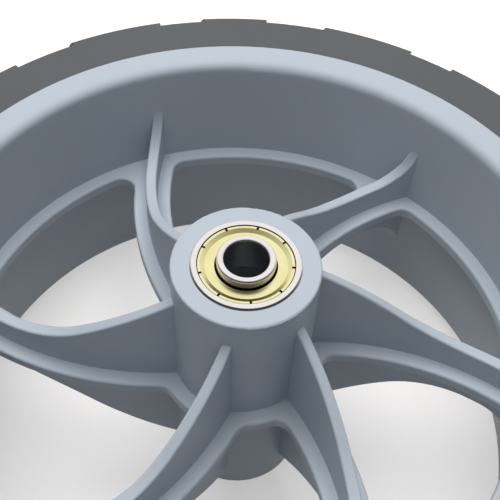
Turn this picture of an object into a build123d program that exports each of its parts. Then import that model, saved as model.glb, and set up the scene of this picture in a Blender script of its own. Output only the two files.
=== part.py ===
from build123d import *
import math
import os

# Rubber wheel lying flat: the axle runs along +Z through the origin, which is the middle of the hub.
# All sizes are millimetres and degrees.

# Tyre
tyre_diameter = 244.0
tyre_height = 18.0
tyre_lip_step = 0.7
tyre_shoulder_round = 1.5
tread_depth = 2.4
tread_groove_length = 27.0
tread_groove_slant = 9.0
tread_periods = 8
tread_start = 123.0
long_block_angle = 15.6
narrow_groove_angle = 7.8
short_block_angle = 11.0
centre_groove_width = 5.0

# Rim
rim_above_web = 41.2
rim_below_web = 45.4
rim_lip_width = 10.3
rim_wall = 5.0
rim_flange = 6.5
rim_draft = 2.6
lip_inner_round = 2.6
lip_outer_round = 1.2

# Hub
hub_diameter = 43.0
hub_length = 96.0
hub_edge_round = 0.7
hub_bore = 26.0

# Web and its openings
web_thickness = 4.5
web_margin = 4.6
web_edge_round = 1.0
opening_corner_round = 5.0

# Swirled ribs
rib_count = 6
rib_thickness = 4.1
rib_draft = 0.8
rib_arc_radius = 98.0
rib_centre_miss = 2.2
rib_arc_azimuth = 110.1
rib_drop_at_hub = 9.7
rib_waist_height = 11.5
rib_waist_run = 31.2
rib_waist_reach = 14.2
rib_rim_blend = 14.0
rib_root_rise = 3.5
rib_root_depth = 0.05
rib_edge_round = 0.7

# Ball bearings
bearing_diameter = 32.0
bearing_bore = 12.7
bearing_width = 10.0
bearing_proud = 0.6
ring_edge_chamfer = 0.5
inner_ring_proud = 2.2
inner_ring_edge_round = 0.7
inner_collar_wall = 2.15
land_height = 2.25
shield_seat_step = 0.6
shield_seat_depth = 1.6
ball_diameter = 5.95
ball_count = 7
race_clearance = 0.12

# Bearing shields
shield_sheet = 0.35
shield_recess = 0.25
shield_band_width = 0.7
shield_step_width = 1.3
shield_edge_gap = 0.28
shield_bend_round = 0.25
shield_ring_gap = 0.5
shield_cage_gap = 0.2
crimp_count = 9
crimp_width = 0.7
crimp_length = 0.9
crimp_start = 38.5

# Ball cage
cage_sheet = 0.4
cage_band = 2.4
cage_clearance = 0.12
rivet_diameter = 1.0
rivet_head_diameter = 1.8
rivet_head_height = 0.35

# Worked out from the sizes above: wheel body and tyre
hub_radius = hub_diameter / 2
hub_half = hub_length / 2
tyre_radius = tyre_diameter / 2
tyre_top = rim_above_web - tyre_lip_step
tyre_bottom = tyre_lip_step - rim_below_web
tyre_width = tyre_top - tyre_bottom
tyre_middle = (tyre_top + tyre_bottom) / 2
rim_radius = tyre_radius - tyre_height
rim_bore_radius = rim_radius - rim_lip_width
rim_slope = math.tan(math.radians(rim_draft))
rim_waist_radius = rim_bore_radius - rim_above_web * rim_slope
rim_lower_bore_radius = rim_waist_radius + rim_below_web * rim_slope
channel_radius = rim_bore_radius + rim_wall
channel_width = rim_above_web + rim_below_web - 2 * rim_flange
wide_groove_angle = 360 / tread_periods - long_block_angle - narrow_groove_angle - short_block_angle

# Worked out: bearings, from the upper one's outer face down
bearing_radius = bearing_diameter / 2
bearing_face = hub_half + bearing_proud
bearing_middle = bearing_face - bearing_width / 2
pitch_radius = (bearing_bore + bearing_diameter) / 4
ball_radius = ball_diameter / 2
race_radius = ball_radius + race_clearance
collar_radius = bearing_bore / 2 + inner_collar_wall
inner_land_radius = pitch_radius - land_height
outer_land_radius = pitch_radius + land_height
shield_seat_radius = outer_land_radius + shield_seat_step
cup_radius = ball_radius + cage_clearance
cage_top = bearing_middle + cup_radius + cage_sheet

# Worked out: the ribs' reach and their edge line
rib_arc_offset = rib_arc_radius - rib_centre_miss
rib_inner_radius = (hub_radius + bearing_radius) / 2
rib_outer_radius = rim_bore_radius + rim_wall / 2
rib_hub_height = hub_half - rib_drop_at_hub
rib_foot_radius = rim_waist_radius + rib_waist_height * rim_slope + rib_root_depth
rib_root_height = rib_waist_height + rib_rim_blend + rib_root_rise
rib_root_radius = rim_waist_radius + rib_root_height * rim_slope + rib_root_depth
rib_waist_radius = rib_foot_radius - rib_waist_run
rib_slope_turn = math.atan2(rib_hub_height - rib_waist_height, rib_waist_radius - hub_radius)
rib_waist_blend = rib_waist_reach / math.tan(rib_slope_turn / 2)


def swirl_turn(radius):
    """Angle about the rib arc's centre between the wheel centre and the arc's point at a radius."""
    cosine = (rib_arc_offset**2 + rib_arc_radius**2 - radius**2) / (2 * rib_arc_offset * rib_arc_radius)
    return math.degrees(math.acos(cosine))


def swirl_strip(half_width, inner_radius, outer_radius):
    """Curved strip along one rib's arc, from one radius of the wheel to another."""
    azimuth = math.radians(rib_arc_azimuth)
    centre = (rib_arc_offset * math.cos(azimuth), rib_arc_offset * math.sin(azimuth))
    start = rib_arc_azimuth + 180 - swirl_turn(inner_radius)
    span = swirl_turn(inner_radius) - swirl_turn(outer_radius)
    with BuildSketch() as strip:
        with BuildLine():
            far_side = CenterArc(centre, rib_arc_radius + half_width, start, span)
            near_side = CenterArc(centre, rib_arc_radius - half_width, start, span)
            Line(far_side @ 0, near_side @ 0)
            Line(far_side @ 1, near_side @ 1)
        make_face()
    return strip.sketch


# Web: a disc with six openings that leave a margin beside the ribs, the hub and the rim
with BuildSketch() as web_openings:
    Circle(rim_waist_radius - web_margin)
    Circle(hub_radius + web_margin, mode=Mode.SUBTRACT)
    with PolarLocations(0, rib_count):
        add(swirl_strip(rib_thickness / 2 + web_margin, hub_radius, rim_bore_radius), mode=Mode.SUBTRACT)
    fillet(web_openings.vertices(), opening_corner_round)

with BuildPart() as web:
    Cylinder(rim_bore_radius + rim_wall / 2, web_thickness)
    with BuildSketch(Plane.XY.offset(-web_thickness)):
        add(web_openings.sketch)
    extrude(amount=2 * web_thickness, mode=Mode.SUBTRACT)
    web_faces = web.faces().filter_by(Axis.Z)
    fillet([wire.edges() for face in web_faces for wire in face.inner_wires()], web_edge_round)

# One rib: a drafted swirl strip, trimmed to an edge line that is the same on both faces of the wheel
with BuildPart() as rib:
    with BuildSketch():
        strip_ends = (rib_inner_radius - rib_thickness, rib_outer_radius + rib_thickness)
        add(swirl_strip(rib_thickness / 2, *strip_ends))
    extrude(amount=rib_hub_height, taper=rib_draft)
    mirror(about=Plane.XY)
    with BuildSketch(Plane.XZ):
        with BuildLine():
            edge = FilletPolyline(
                (hub_radius, rib_hub_height),
                (rib_waist_radius, rib_waist_height),
                (rib_foot_radius, rib_waist_height),
                (rib_root_radius, rib_root_height),
                radius=[rib_waist_blend, rib_rim_blend],
            )
            rim_end = edge @ 1
            Polyline(
                edge @ 0,
                (rib_inner_radius, rib_hub_height),
                (rib_inner_radius, 0),
                (rib_outer_radius, 0),
                (rib_outer_radius, rim_end.Y),
                rim_end,
            )
        make_face()
        mirror(about=Plane.XZ)
    revolve(axis=Axis.Z, mode=Mode.INTERSECT)
    rib_edge_faces = rib.faces().filter_by(lambda face: abs(face.normal_at().Z) > 0.5)
    fillet(rib_edge_faces.edges().filter_by(lambda line: line.length > 1.5 * rib_thickness), rib_edge_round)

# Rim: a barrel with two flanges that hold the tyre, and broad rounded lips
with BuildPart() as rim:
    with BuildSketch(Plane.XZ) as rim_section:
        with BuildLine():
            Polyline(
                (rim_waist_radius, 0),
                (rim_bore_radius, rim_above_web),
                (rim_radius, rim_above_web),
                (rim_radius, -rim_below_web),
                (rim_lower_bore_radius, -rim_below_web),
                close=True,
            )
        make_face()
        waist, first_lip, second_lip, *outer_corners = rim_section.vertices().sort_by(Axis.X)
        fillet([first_lip, second_lip], lip_inner_round)
        fillet(outer_corners, lip_outer_round)
        with Locations(((channel_radius + tyre_radius) / 2, tyre_middle)):
            Rectangle(tyre_radius - channel_radius, channel_width, mode=Mode.SUBTRACT)
    revolve(axis=Axis.Z)

# Wheel body: hub, web, ribs and rim in one moulding, bored through and pocketed for the bearings
with BuildPart() as wheel_body:
    Cylinder(hub_radius, hub_length)
    fillet(wheel_body.edges().filter_by(GeomType.CIRCLE), hub_edge_round)
    add(web.part)
    with PolarLocations(0, rib_count):
        add(rib.part)
    add(rim.part)
    Cylinder(hub_bore / 2, hub_length, mode=Mode.SUBTRACT)
    for side in (1, -1):
        with Locations((0, 0, side * bearing_middle)):
            Cylinder(bearing_radius, bearing_width, mode=Mode.SUBTRACT)


def tread_sector(turn, angle):
    """Annular sector of the tread's depth, from an angle on, reaching past the tread."""
    floor_radius = tyre_radius - tread_depth
    with BuildSketch() as sector:
        with BuildLine():
            floor = CenterArc((0, 0), floor_radius, turn, angle)
            top = CenterArc((0, 0), tyre_radius + tread_depth, turn, angle)
            Line(floor @ 0, top @ 0)
            Line(floor @ 1, top @ 1)
        make_face()
    return sector.sketch


# Tread grooves of one shoulder: a narrow and a wide one in each period, slanted towards the middle
with BuildPart() as tread_grooves:
    first_groove = tread_start - long_block_angle - narrow_groove_angle
    second_groove = tread_start
    for turn, angle in ((first_groove, narrow_groove_angle), (second_groove, wide_groove_angle)):
        with BuildSketch(Plane.XY.offset(tyre_top + tread_depth)):
            add(tread_sector(turn, angle))
        with BuildSketch(Plane.XY.offset(tyre_top - tread_groove_length)):
            add(tread_sector(turn + tread_groove_slant, angle))
        loft()

# The other shoulder's grooves are the mirror image, half a period round
with BuildPart() as lower_tread_grooves:
    mirror(tread_grooves.part, about=Plane.XY.offset(tyre_middle))

# Tyre: solid rubber, seated between the rim's flanges, with shoulder blocks and a groove round the middle
with BuildPart() as tyre:
    with BuildSketch(Plane.XZ) as tyre_section:
        with Locations(((rim_radius + tyre_radius) / 2, tyre_middle)):
            Rectangle(tyre_radius - rim_radius, tyre_width)
        fillet(tyre_section.vertices().group_by(Axis.X)[-1], tyre_shoulder_round)
        with Locations(((channel_radius + rim_radius) / 2, tyre_middle)):
            Rectangle(rim_radius - channel_radius, channel_width)
        with Locations((tyre_radius, tyre_middle)):
            Rectangle(2 * tread_depth, centre_groove_width, mode=Mode.SUBTRACT)
    revolve(axis=Axis.Z)
    with PolarLocations(0, tread_periods):
        add(tread_grooves.part, mode=Mode.SUBTRACT)
    with PolarLocations(0, tread_periods, start_angle=180 / tread_periods):
        add(lower_tread_grooves.part, mode=Mode.SUBTRACT)

# Bearing outer ring: ball race in the middle, a seat for a shield at each face
with BuildPart() as outer_ring:
    with BuildSketch(Plane.XZ) as outer_section:
        with Locations(((outer_land_radius + bearing_radius) / 2, bearing_middle)):
            Rectangle(bearing_radius - outer_land_radius, bearing_width)
        chamfer(outer_section.vertices().group_by(Axis.X)[-1], ring_edge_chamfer)
        with Locations((pitch_radius, bearing_middle)):
            Circle(race_radius, mode=Mode.SUBTRACT)
        for face_height in (bearing_face, bearing_face - bearing_width):
            with Locations((shield_seat_radius / 2, face_height)):
                Rectangle(shield_seat_radius, 2 * shield_seat_depth, mode=Mode.SUBTRACT)
    revolve(axis=Axis.Z)

# Bearing inner ring: its collar stands proud of the outer ring to meet the axle's shoulder
with BuildPart() as inner_ring:
    collar_length = bearing_width + inner_ring_proud
    land_wall = inner_land_radius - bearing_bore / 2
    with BuildSketch(Plane.XZ) as inner_section:
        with Locations(((bearing_bore / 2 + collar_radius) / 2, bearing_middle + inner_ring_proud / 2)):
            Rectangle(inner_collar_wall, collar_length)
        fillet(inner_section.vertices(), inner_ring_edge_round)
        with Locations(((bearing_bore / 2 + inner_land_radius) / 2, bearing_middle)):
            Rectangle(land_wall, bearing_width - 2 * shield_seat_depth)
        with Locations((pitch_radius, bearing_middle)):
            Circle(race_radius, mode=Mode.SUBTRACT)
    revolve(axis=Axis.Z)

# Balls: one ring of separate balls on the pitch circle
with BuildPart() as balls:
    with Locations((0, 0, bearing_middle)):
        with PolarLocations(pitch_radius, ball_count):
            Sphere(ball_radius)

# Outer shield: a pressed ring with a crimped band, a sloping step and a flat floor
with BuildPart() as outer_shield:
    band_radius = shield_seat_radius - shield_edge_gap
    band_height = bearing_face - shield_recess
    floor_height = cage_top + shield_cage_gap + shield_sheet
    step_radius = band_radius - shield_band_width
    floor_radius = step_radius - shield_step_width
    hole_radius = collar_radius + shield_ring_gap
    with BuildSketch(Plane.XZ) as shield_section:
        with BuildLine():
            Polyline(
                (band_radius, band_height),
                (step_radius, band_height),
                (floor_radius, floor_height),
                (hole_radius, floor_height),
                (hole_radius, floor_height - shield_sheet),
                (floor_radius, floor_height - shield_sheet),
                (step_radius, band_height - shield_sheet),
                (band_radius, band_height - shield_sheet),
                close=True,
            )
        make_face()
        bends = shield_section.vertices().sort_by(Axis.X)[2:6]
        fillet(bends, shield_bend_round)
    revolve(axis=Axis.Z)
    with Locations((0, 0, band_height)):
        with PolarLocations(band_radius, crimp_count, start_angle=crimp_start):
            Box(2 * crimp_length, crimp_width, 4 * shield_sheet, mode=Mode.SUBTRACT)

# Inner shield: the same pressing on the side that faces into the hub
with BuildPart() as inner_shield:
    mirror(outer_shield.part, about=Plane.XY.offset(bearing_middle))

# Outer half of the ball cage: a flat ring with a cup over each ball and a hole for each rivet
with BuildPart() as outer_cage_half:
    with Locations((0, 0, bearing_middle)):
        Cylinder(pitch_radius + cage_band / 2, cage_sheet, align=(Align.CENTER, Align.CENTER, Align.MIN))
        with PolarLocations(pitch_radius, ball_count):
            Sphere(cup_radius + cage_sheet)
        with PolarLocations(pitch_radius, ball_count):
            Sphere(cup_radius, mode=Mode.SUBTRACT)
        with PolarLocations(pitch_radius, ball_count, start_angle=180 / ball_count):
            Cylinder(rivet_diameter / 2, 4 * cage_sheet, mode=Mode.SUBTRACT)
        Cylinder(pitch_radius - cage_band / 2, bearing_width, mode=Mode.SUBTRACT)
    with BuildSketch(Plane.XY.offset(bearing_middle)):
        Circle(pitch_radius + cage_band / 2)
    extrude(amount=bearing_width / 2, mode=Mode.INTERSECT)

# Inner half of the ball cage: its mirror image
with BuildPart() as inner_cage_half:
    mirror(outer_cage_half.part, about=Plane.XY.offset(bearing_middle))

# Cage rivets: one between each pair of balls, headed on both sides
with BuildPart() as cage_rivets:
    with Locations((0, 0, bearing_middle)):
        with PolarLocations(pitch_radius, ball_count, start_angle=180 / ball_count):
            Cylinder(rivet_diameter / 2, 2 * cage_sheet)
    for side in (1, -1):
        with Locations((0, 0, bearing_middle + side * (cage_sheet + rivet_head_height / 2))):
            with PolarLocations(pitch_radius, ball_count, start_angle=180 / ball_count):
                Cylinder(rivet_head_diameter / 2, rivet_head_height)

# Each bearing piece is kept twice: at the upper hub end, and mirrored at the lower one
bearing_pieces = {
    "outer_ring": outer_ring.part,
    "inner_ring": inner_ring.part,
    "balls": balls.part,
    "outer_shield": outer_shield.part,
    "inner_shield": inner_shield.part,
    "outer_cage_half": outer_cage_half.part,
    "inner_cage_half": inner_cage_half.part,
    "cage_rivets": cage_rivets.part,
}

os.makedirs("parts", exist_ok=True)

wheel_body.part.label = "wheel_body"
export_step(wheel_body.part, "parts/wheel_body.step")

tyre.part.label = "tyre"
export_step(tyre.part, "parts/tyre.step")

for piece_name, upper_piece in bearing_pieces.items():
    lower_piece = mirror(upper_piece, about=Plane.XY)
    upper_piece.label = f"upper_{piece_name}"
    lower_piece.label = f"lower_{piece_name}"
    export_step(upper_piece, f"parts/upper_{piece_name}.step")
    export_step(lower_piece, f"parts/lower_{piece_name}.step")
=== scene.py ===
import bpy
from mathutils import Matrix, Vector


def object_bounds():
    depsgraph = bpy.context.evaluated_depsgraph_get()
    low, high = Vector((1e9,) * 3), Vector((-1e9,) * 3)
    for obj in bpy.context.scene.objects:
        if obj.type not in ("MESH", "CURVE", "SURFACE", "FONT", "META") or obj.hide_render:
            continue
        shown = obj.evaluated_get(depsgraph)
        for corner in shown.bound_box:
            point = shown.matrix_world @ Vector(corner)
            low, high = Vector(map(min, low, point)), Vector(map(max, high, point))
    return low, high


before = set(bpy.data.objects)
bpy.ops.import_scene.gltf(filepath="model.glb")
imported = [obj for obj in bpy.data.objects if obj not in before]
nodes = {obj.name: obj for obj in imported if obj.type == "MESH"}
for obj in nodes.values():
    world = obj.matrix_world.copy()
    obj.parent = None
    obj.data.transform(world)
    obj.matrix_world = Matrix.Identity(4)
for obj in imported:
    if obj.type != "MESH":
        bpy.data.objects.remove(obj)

cad_box = [list(corner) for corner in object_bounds()]

# Camera: the photograph's viewpoint, in the wheel's own frame, in metres
CAMERA_PLACE = Vector((0.000796, -0.153280, 0.245771))
CAMERA_RIGHT = Vector((0.997835, 0.051320, 0.041125))
CAMERA_UP = Vector((-0.065765, 0.778670, 0.623978))
CAMERA_LENS_MM = 64.31
CAMERA_SENSOR_MM = 36.0
CAMERA_CLIP_START = 0.01

# Floor: its glow is what the camera sees on top of the light that falls on it. Under the wheel the glow is
# lower, and lowest at the front, which is painted shade of the wheel on the floor
FLOOR_SIZE = 6.0
FLOOR_COLOUR = (0.50, 0.485, 0.475, 1.0)
FLOOR_ROUGHNESS = 0.9
FLOOR_EDGE = 0.89
# Painted shade: the glow under the wheel, from its front to its back
FLOOR_GLOW_SHADED_FRONT = 0.385
FLOOR_GLOW_SHADED_BACK = 0.545
FLOOR_GLOW_AROUND = 0.68
FLOOR_GLOW_FAR = 1.0
FLOOR_FAR = 1.2
FLOOR_GLOW_COLOUR = (1.0, 0.985, 0.978, 1.0)

# Studio: even light from all round, and one lit side that only reflections see
WORLD_COLOUR = (1.0, 1.0, 1.0, 1.0)
AMBIENT_COLOUR = (0.965, 1.0, 1.045, 1.0)
AMBIENT_STRENGTH = 0.222
LIT_SIDE = Vector((0.0, 0.75, 0.66))
LIT_FROM = 0.1
LIT_TO = 1.0
UNLIT_STRENGTH = 0.06

# Softbox above and behind the wheel, in metres and watts
SOFTBOX_PLACE = Vector((-0.09, 0.22, 1.1))
SOFTBOX_AIM = Vector((0.0, 0.0, 0.0))
SOFTBOX_SIZE = 0.9
SOFTBOX_POWER = 13.4

# Soft run-out of the rim's lips into its wall, in metres
RIM_SOFT_FROM = 0.0925
RIM_SOFT_TO = 0.0935
LIP_SOFT_FROM = 0.0975
LIP_SOFT_TO = 0.1015
RIM_SOFTNESS = 0.0045
RIM_SOFT_SAMPLES = 8

# Painted shade between the rings of a bearing, below its shields: a near-black colour where the recess lies
# in shade, in metres
BEARING_SHADE_RADIUS = 0.01125
BEARING_SHADE_REACH = 0.00285
BEARING_SHADE_HEIGHT = 0.0436
BEARING_SHADE_DEPTH = 0.0037

# Finishes, as linear colours
PLASTIC_PALE = (0.488, 0.535, 0.590, 1.0)
PLASTIC_DEEP = (0.456, 0.508, 0.560, 1.0)
RUBBER_DARK = (0.098, 0.104, 0.113, 1.0)
RUBBER_DUSTY = (0.122, 0.127, 0.132, 1.0)
STEEL_BRIGHT = (0.92, 0.88, 0.865, 1.0)
STEEL_GREY = (0.82, 0.785, 0.77, 1.0)
ZINC_YELLOW = (0.87, 0.77, 0.33, 1.0)
ZINC_PALE = (0.97, 0.94, 0.60, 1.0)
# Painted shade: near-black colour for the recess between a bearing's rings
BEARING_SHADE_COLOUR = (0.010, 0.009, 0.008, 1.0)
CAGE_STEEL = (0.26, 0.25, 0.24, 1.0)
BALL_STEEL = (0.45, 0.44, 0.43, 1.0)

# Texture of the finishes: noise detail, noise scale per metre, and shader levels
GRAIN_DETAIL = 4.0
DRIFT_DETAIL = 3.0
MARKS_DETAIL = 3.0
TONE_SCALE = 160.0
MOULDED_SPECULAR = 0.35
METAL_BUMP_STRENGTH = 0.25


def link(tree, source, target):
    tree.links.new(source, target)


def add_node(tree, kind, **values):
    """A node with some of its properties set."""
    made = tree.nodes.new(kind)
    for name, value in values.items():
        setattr(made, name, value)
    return made


def new_group(name, inputs, outputs):
    """A shader node group with named float, colour or vector sockets."""
    group = bpy.data.node_groups.new(name, "ShaderNodeTree")
    for socket_name, kind, value in inputs:
        socket = group.interface.new_socket(name=socket_name, in_out="INPUT", socket_type=kind)
        socket.default_value = value
    for socket_name, kind in outputs:
        group.interface.new_socket(name=socket_name, in_out="OUTPUT", socket_type=kind)
    return group


def ramp(tree, value, start, end, low, high):
    """Smooth change from a low to a high result."""
    rise = add_node(tree, "ShaderNodeMapRange", interpolation_type="SMOOTHSTEP")
    rise.inputs["From Min"].default_value = start
    rise.inputs["From Max"].default_value = end
    rise.inputs["To Min"].default_value = low
    rise.inputs["To Max"].default_value = high
    link(tree, value, rise.inputs["Value"])
    return rise.outputs["Result"]


def combine(tree, operation, first, second):
    """One value from two."""
    result = add_node(tree, "ShaderNodeMath", operation=operation)
    link(tree, first, result.inputs[0])
    link(tree, second, result.inputs[1])
    return result.outputs["Value"]


def within(tree, value, middle, reach):
    """One where a value lies within reach of the middle, and zero elsewhere."""
    band = add_node(tree, "ShaderNodeMath", operation="COMPARE")
    band.inputs[1].default_value = middle
    band.inputs[2].default_value = reach
    link(tree, value, band.inputs[0])
    return band.outputs["Value"]


def own_point(tree):
    """A piece's own coordinates."""
    return add_node(tree, "ShaderNodeTexCoord").outputs["Object"]


def split_point(tree, point):
    """X, Y and Z of a point."""
    parts = add_node(tree, "ShaderNodeSeparateXYZ")
    link(tree, point, parts.inputs["Vector"])
    return parts.outputs


def axle_radius(tree, parts):
    """Distance from the axle."""
    flat = add_node(tree, "ShaderNodeCombineXYZ")
    link(tree, parts["X"], flat.inputs["X"])
    link(tree, parts["Y"], flat.inputs["Y"])
    radius = add_node(tree, "ShaderNodeVectorMath", operation="LENGTH")
    link(tree, flat.outputs["Vector"], radius.inputs[0])
    return radius.outputs["Value"]


def make_moulded_grain():
    """Fine grain of a moulded surface: a height for bump, a roughness and a slow drift of tone."""
    group = new_group(
        "moulded_grain",
        [("Grain Size", "NodeSocketFloat", 2500.0), ("Drift Size", "NodeSocketFloat", 18.0),
         ("Low Roughness", "NodeSocketFloat", 0.4), ("High Roughness", "NodeSocketFloat", 0.55)],
        [("Height", "NodeSocketFloat"), ("Roughness", "NodeSocketFloat"), ("Drift", "NodeSocketFloat")],
    )
    given = add_node(group, "NodeGroupInput")
    result = add_node(group, "NodeGroupOutput")
    point = own_point(group)
    grain = add_node(group, "ShaderNodeTexNoise")
    grain.inputs["Detail"].default_value = GRAIN_DETAIL
    link(group, point, grain.inputs["Vector"])
    link(group, given.outputs["Grain Size"], grain.inputs["Scale"])
    drift = add_node(group, "ShaderNodeTexNoise")
    drift.inputs["Detail"].default_value = DRIFT_DETAIL
    link(group, point, drift.inputs["Vector"])
    link(group, given.outputs["Drift Size"], drift.inputs["Scale"])
    gloss = add_node(group, "ShaderNodeMapRange")
    link(group, grain.outputs["Fac"], gloss.inputs["Value"])
    link(group, given.outputs["Low Roughness"], gloss.inputs["To Min"])
    link(group, given.outputs["High Roughness"], gloss.inputs["To Max"])
    link(group, grain.outputs["Fac"], result.inputs["Height"])
    link(group, gloss.outputs["Result"], result.inputs["Roughness"])
    link(group, drift.outputs["Fac"], result.inputs["Drift"])
    return group


def make_painted_bearing_shade():
    """Painted shade between a bearing's rings, below its shields: one where it is painted, and zero
    elsewhere.
    """
    group = new_group("painted_bearing_shade", [], [("Shade", "NodeSocketFloat")])
    result = add_node(group, "NodeGroupOutput")
    parts = split_point(group, own_point(group))
    between = within(group, axle_radius(group, parts), BEARING_SHADE_RADIUS, BEARING_SHADE_REACH)
    either_end = add_node(group, "ShaderNodeMath", operation="ABSOLUTE")
    link(group, parts["Z"], either_end.inputs[0])
    below = within(group, either_end.outputs["Value"], BEARING_SHADE_HEIGHT, BEARING_SHADE_DEPTH)
    link(group, combine(group, "MULTIPLY", between, below), result.inputs["Shade"])
    return group


def make_lathe_marks():
    """Turning marks round the axle: rings of height and roughness that depend on radius and height."""
    group = new_group(
        "lathe_marks",
        [("Ring Density", "NodeSocketFloat", 4000.0), ("Low Roughness", "NodeSocketFloat", 0.15),
         ("High Roughness", "NodeSocketFloat", 0.3)],
        [("Height", "NodeSocketFloat"), ("Roughness", "NodeSocketFloat"), ("Tone", "NodeSocketFloat")],
    )
    given = add_node(group, "NodeGroupInput")
    result = add_node(group, "NodeGroupOutput")
    point = own_point(group)
    parts = split_point(group, point)
    rings = add_node(group, "ShaderNodeCombineXYZ")
    link(group, axle_radius(group, parts), rings.inputs["X"])
    link(group, parts["Z"], rings.inputs["Y"])
    marks = add_node(group, "ShaderNodeTexNoise")
    marks.inputs["Detail"].default_value = MARKS_DETAIL
    link(group, rings.outputs["Vector"], marks.inputs["Vector"])
    link(group, given.outputs["Ring Density"], marks.inputs["Scale"])
    gloss = add_node(group, "ShaderNodeMapRange")
    link(group, marks.outputs["Fac"], gloss.inputs["Value"])
    link(group, given.outputs["Low Roughness"], gloss.inputs["To Min"])
    link(group, given.outputs["High Roughness"], gloss.inputs["To Max"])
    tone = add_node(group, "ShaderNodeTexNoise")
    tone.inputs["Scale"].default_value = TONE_SCALE
    link(group, point, tone.inputs["Vector"])
    link(group, marks.outputs["Fac"], result.inputs["Height"])
    link(group, gloss.outputs["Result"], result.inputs["Roughness"])
    link(group, tone.outputs["Fac"], result.inputs["Tone"])
    return group


moulded_grain = make_moulded_grain()
lathe_marks = make_lathe_marks()
painted_bearing_shade = make_painted_bearing_shade()


def start_material(name):
    """A material with its Principled shader ready."""
    material = bpy.data.materials.new(name)
    material.use_nodes = True
    tree = material.node_tree
    return material, tree, tree.nodes["Principled BSDF"]


def blend_colour(tree, factor, low, high):
    """Colour that drifts between two tones."""
    mix = add_node(tree, "ShaderNodeMix", data_type="RGBA")
    mix.inputs["A"].default_value = low
    mix.inputs["B"].default_value = high
    link(tree, factor, mix.inputs["Factor"])
    return mix


def blend_value(tree, factor, high):
    """Value that goes from a linked one, still to be given, to a fixed one."""
    mix = add_node(tree, "ShaderNodeMix", data_type="FLOAT")
    mix.inputs["B"].default_value = high
    link(tree, factor, mix.inputs["Factor"])
    return mix


def raise_surface(tree, height, distance, strength, shader):
    """Bump from a height output."""
    bump = add_node(tree, "ShaderNodeBump")
    bump.inputs["Distance"].default_value = distance
    bump.inputs["Strength"].default_value = strength
    link(tree, height, bump.inputs["Height"])
    link(tree, bump.outputs["Normal"], shader.inputs["Normal"])


def moulded_finish(name, low, high, grain_size, drift_size, gloss_low, gloss_high, bump_depth, bump_strength):
    """Plastic or rubber out of a mould."""
    material, tree, shader = start_material(name)
    grain = add_node(tree, "ShaderNodeGroup", node_tree=moulded_grain)
    grain.inputs["Grain Size"].default_value = grain_size
    grain.inputs["Drift Size"].default_value = drift_size
    grain.inputs["Low Roughness"].default_value = gloss_low
    grain.inputs["High Roughness"].default_value = gloss_high
    tone = blend_colour(tree, grain.outputs["Drift"], low, high)
    link(tree, tone.outputs["Result"], shader.inputs["Base Color"])
    link(tree, grain.outputs["Roughness"], shader.inputs["Roughness"])
    raise_surface(tree, grain.outputs["Height"], bump_depth, bump_strength, shader)
    shader.inputs["Specular IOR Level"].default_value = MOULDED_SPECULAR
    return material


def turned_finish(name, low, high, ring_density, gloss_low, gloss_high, bump_depth):
    """Metal with turning or drawing marks round the axle, and painted shade on it inside a bearing, below its
    shields.
    """
    material, tree, shader = start_material(name)
    marks = add_node(tree, "ShaderNodeGroup", node_tree=lathe_marks)
    marks.inputs["Ring Density"].default_value = ring_density
    marks.inputs["Low Roughness"].default_value = gloss_low
    marks.inputs["High Roughness"].default_value = gloss_high
    tone = blend_colour(tree, marks.outputs["Tone"], low, high)
    # Painted shade: the bearing's recess below its shields is coloured near-black
    shade_mask = add_node(tree, "ShaderNodeGroup", node_tree=painted_bearing_shade)
    shaded = blend_colour(tree, shade_mask.outputs["Shade"], low, BEARING_SHADE_COLOUR)
    link(tree, tone.outputs["Result"], shaded.inputs["A"])
    link(tree, shaded.outputs["Result"], shader.inputs["Base Color"])
    link(tree, marks.outputs["Roughness"], shader.inputs["Roughness"])
    raise_surface(tree, marks.outputs["Height"], bump_depth, METAL_BUMP_STRENGTH, shader)
    shader.inputs["Metallic"].default_value = 1.0
    return material


def soften_rim(material):
    """Soft edges on the rim's lips alone, which run out into the wall."""
    tree = material.node_tree
    radius = axle_radius(tree, split_point(tree, own_point(tree)))
    rising = ramp(tree, radius, RIM_SOFT_FROM, RIM_SOFT_TO, 0.0, RIM_SOFTNESS)
    falling = ramp(tree, radius, LIP_SOFT_FROM, LIP_SOFT_TO, 1.0, 0.0)
    soft = add_node(tree, "ShaderNodeBevel", samples=RIM_SOFT_SAMPLES)
    link(tree, combine(tree, "MULTIPLY", rising, falling), soft.inputs["Radius"])
    link(tree, soft.outputs["Normal"], tree.nodes["Bump"].inputs["Normal"])


wheel_plastic = moulded_finish(
    "wheel_plastic", PLASTIC_DEEP, PLASTIC_PALE, grain_size=1400.0, drift_size=14.0,
    gloss_low=0.42, gloss_high=0.55, bump_depth=0.00002, bump_strength=0.2,
)
soften_rim(wheel_plastic)
tyre_rubber = moulded_finish(
    "tyre_rubber", RUBBER_DARK, RUBBER_DUSTY, grain_size=1800.0, drift_size=22.0,
    gloss_low=0.62, gloss_high=0.8, bump_depth=0.00004, bump_strength=0.3,
)
bearing_steel = turned_finish(
    "bearing_steel", STEEL_GREY, STEEL_BRIGHT, ring_density=5000.0,
    gloss_low=0.14, gloss_high=0.28, bump_depth=0.000004,
)
shield_zinc = turned_finish(
    "shield_zinc", ZINC_YELLOW, ZINC_PALE, ring_density=2500.0,
    gloss_low=0.18, gloss_high=0.30, bump_depth=0.000006,
)
cage_steel = turned_finish(
    "cage_steel", CAGE_STEEL, BALL_STEEL, ring_density=3000.0,
    gloss_low=0.25, gloss_high=0.4, bump_depth=0.000005,
)
ball_steel = turned_finish(
    "ball_steel", BALL_STEEL, STEEL_GREY, ring_density=1200.0,
    gloss_low=0.05, gloss_high=0.12, bump_depth=0.000001,
)

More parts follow.
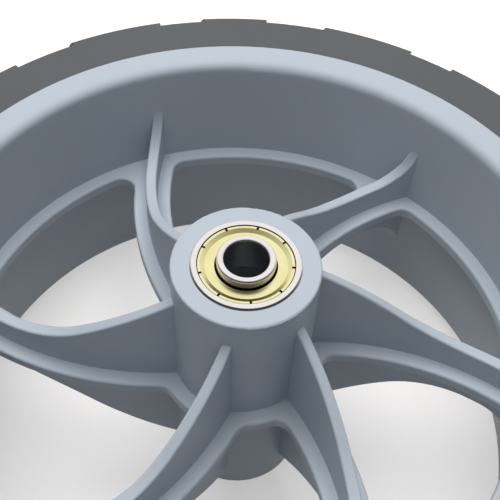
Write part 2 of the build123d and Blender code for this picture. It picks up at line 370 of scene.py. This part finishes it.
FINISHES = {
    "wheel_body": wheel_plastic,
    "tyre": tyre_rubber,
    "outer_ring": bearing_steel,
    "inner_ring": bearing_steel,
    "balls": ball_steel,
    "outer_shield": shield_zinc,
    "inner_shield": shield_zinc,
    "outer_cage_half": cage_steel,
    "inner_cage_half": cage_steel,
    "cage_rivets": cage_steel,
}


def finish_nodes():
    """Every piece of the wheel takes its finish by its name, without upper_ or lower_."""
    for name, piece in nodes.items():
        plain_name = name.removeprefix("upper_").removeprefix("lower_")
        piece.data.materials.clear()
        piece.data.materials.append(FINISHES[plain_name])


def seen_directly(tree):
    """One for what the camera sees, straight or in a reflection, and zero for what lights the wheel."""
    rays = add_node(tree, "ShaderNodeLightPath").outputs
    straight = combine(tree, "MAXIMUM", rays["Is Camera Ray"], rays["Is Glossy Ray"])
    return combine(tree, "MAXIMUM", straight, rays["Is Transmission Ray"])


def make_floor():
    """Pale floor that the wheel lies on, shown paler than it lights the wheel, with a lower glow under the
    wheel, lowest at its front, as painted shade.
    """
    lowest = cad_box[0][2]
    wheel_radius = cad_box[1][0]
    bpy.ops.mesh.primitive_plane_add(size=FLOOR_SIZE, location=(0, 0, lowest))
    floor = bpy.context.object
    floor.name = "floor"
    material, tree, shader = start_material("pale_floor")
    shader.inputs["Base Color"].default_value = FLOOR_COLOUR
    shader.inputs["Roughness"].default_value = FLOOR_ROUGHNESS
    shader.inputs["Emission Color"].default_value = FLOOR_GLOW_COLOUR
    parts = split_point(tree, own_point(tree))
    reach = axle_radius(tree, parts)
    # Painted shade under the wheel: less glow there, least at the front
    painted_shade_under = ramp(tree, parts["Y"], -wheel_radius, wheel_radius, FLOOR_GLOW_SHADED_FRONT, FLOOR_GLOW_SHADED_BACK)
    past_edge = ramp(tree, reach, FLOOR_EDGE * wheel_radius, wheel_radius, 0.0, 1.0)
    near = blend_value(tree, past_edge, FLOOR_GLOW_AROUND)
    link(tree, painted_shade_under, near.inputs["A"])
    far = ramp(tree, reach, wheel_radius, FLOOR_FAR, 0.0, FLOOR_GLOW_FAR - FLOOR_GLOW_AROUND)
    total = combine(tree, "ADD", near.outputs["Result"], far)
    glow = combine(tree, "MULTIPLY", seen_directly(tree), total)
    link(tree, glow, shader.inputs["Emission Strength"])
    floor.data.materials.append(material)


def lit_side(tree):
    """Strength of the studio as metal mirrors it: white behind and above, dark on the camera's side."""
    direction = add_node(tree, "ShaderNodeTexCoord")
    towards = add_node(tree, "ShaderNodeVectorMath", operation="DOT_PRODUCT")
    towards.inputs[1].default_value = LIT_SIDE
    link(tree, direction.outputs["Generated"], towards.inputs[0])
    return ramp(tree, towards.outputs["Value"], LIT_FROM, LIT_TO, UNLIT_STRENGTH, 1.0)


def make_world():
    """Even ambient light, a white backdrop for the camera, and a studio with one lit side for reflections."""
    world = bpy.data.worlds.new("studio")
    bpy.context.scene.world = world
    world.use_nodes = True
    tree = world.node_tree
    rays = add_node(tree, "ShaderNodeLightPath").outputs
    mirrored = add_node(tree, "ShaderNodeMix", data_type="FLOAT")
    mirrored.inputs["A"].default_value = AMBIENT_STRENGTH
    link(tree, rays["Is Glossy Ray"], mirrored.inputs["Factor"])
    link(tree, lit_side(tree), mirrored.inputs["B"])
    straight = combine(tree, "MAXIMUM", rays["Is Camera Ray"], rays["Is Transmission Ray"])
    strength = blend_value(tree, straight, 1.0)
    link(tree, mirrored.outputs["Result"], strength.inputs["A"])
    backdrop = tree.nodes["Background"]
    tint = blend_colour(tree, seen_directly(tree), AMBIENT_COLOUR, WORLD_COLOUR)
    link(tree, tint.outputs["Result"], backdrop.inputs["Color"])
    link(tree, strength.outputs["Result"], backdrop.inputs["Strength"])


def make_softbox():
    """Square soft light aimed at the wheel, which reflections don't see."""
    lamp = bpy.data.lights.new("overhead_softbox", "AREA")
    lamp.size = SOFTBOX_SIZE
    lamp.energy = SOFTBOX_POWER
    holder = bpy.data.objects.new("overhead_softbox", lamp)
    holder.location = SOFTBOX_PLACE
    holder.rotation_euler = (SOFTBOX_AIM - SOFTBOX_PLACE).to_track_quat("-Z", "Y").to_euler()
    holder.visible_glossy = False
    bpy.context.scene.collection.objects.link(holder)


def make_camera():
    """Camera at the photograph's viewpoint."""
    lens = bpy.data.cameras.new("photo_camera")
    lens.sensor_width = CAMERA_SENSOR_MM
    lens.lens = CAMERA_LENS_MM
    lens.clip_start = CAMERA_CLIP_START
    camera = bpy.data.objects.new("photo_camera", lens)
    backward = CAMERA_RIGHT.cross(CAMERA_UP)
    turn = Matrix((CAMERA_RIGHT, CAMERA_UP, backward)).transposed()
    camera.matrix_world = Matrix.Translation(CAMERA_PLACE) @ turn.to_4x4()
    bpy.context.scene.collection.objects.link(camera)
    bpy.context.scene.camera = camera


finish_nodes()
make_floor()
make_world()
make_softbox()
make_camera()
bpy.context.scene.view_settings.view_transform = "Standard"
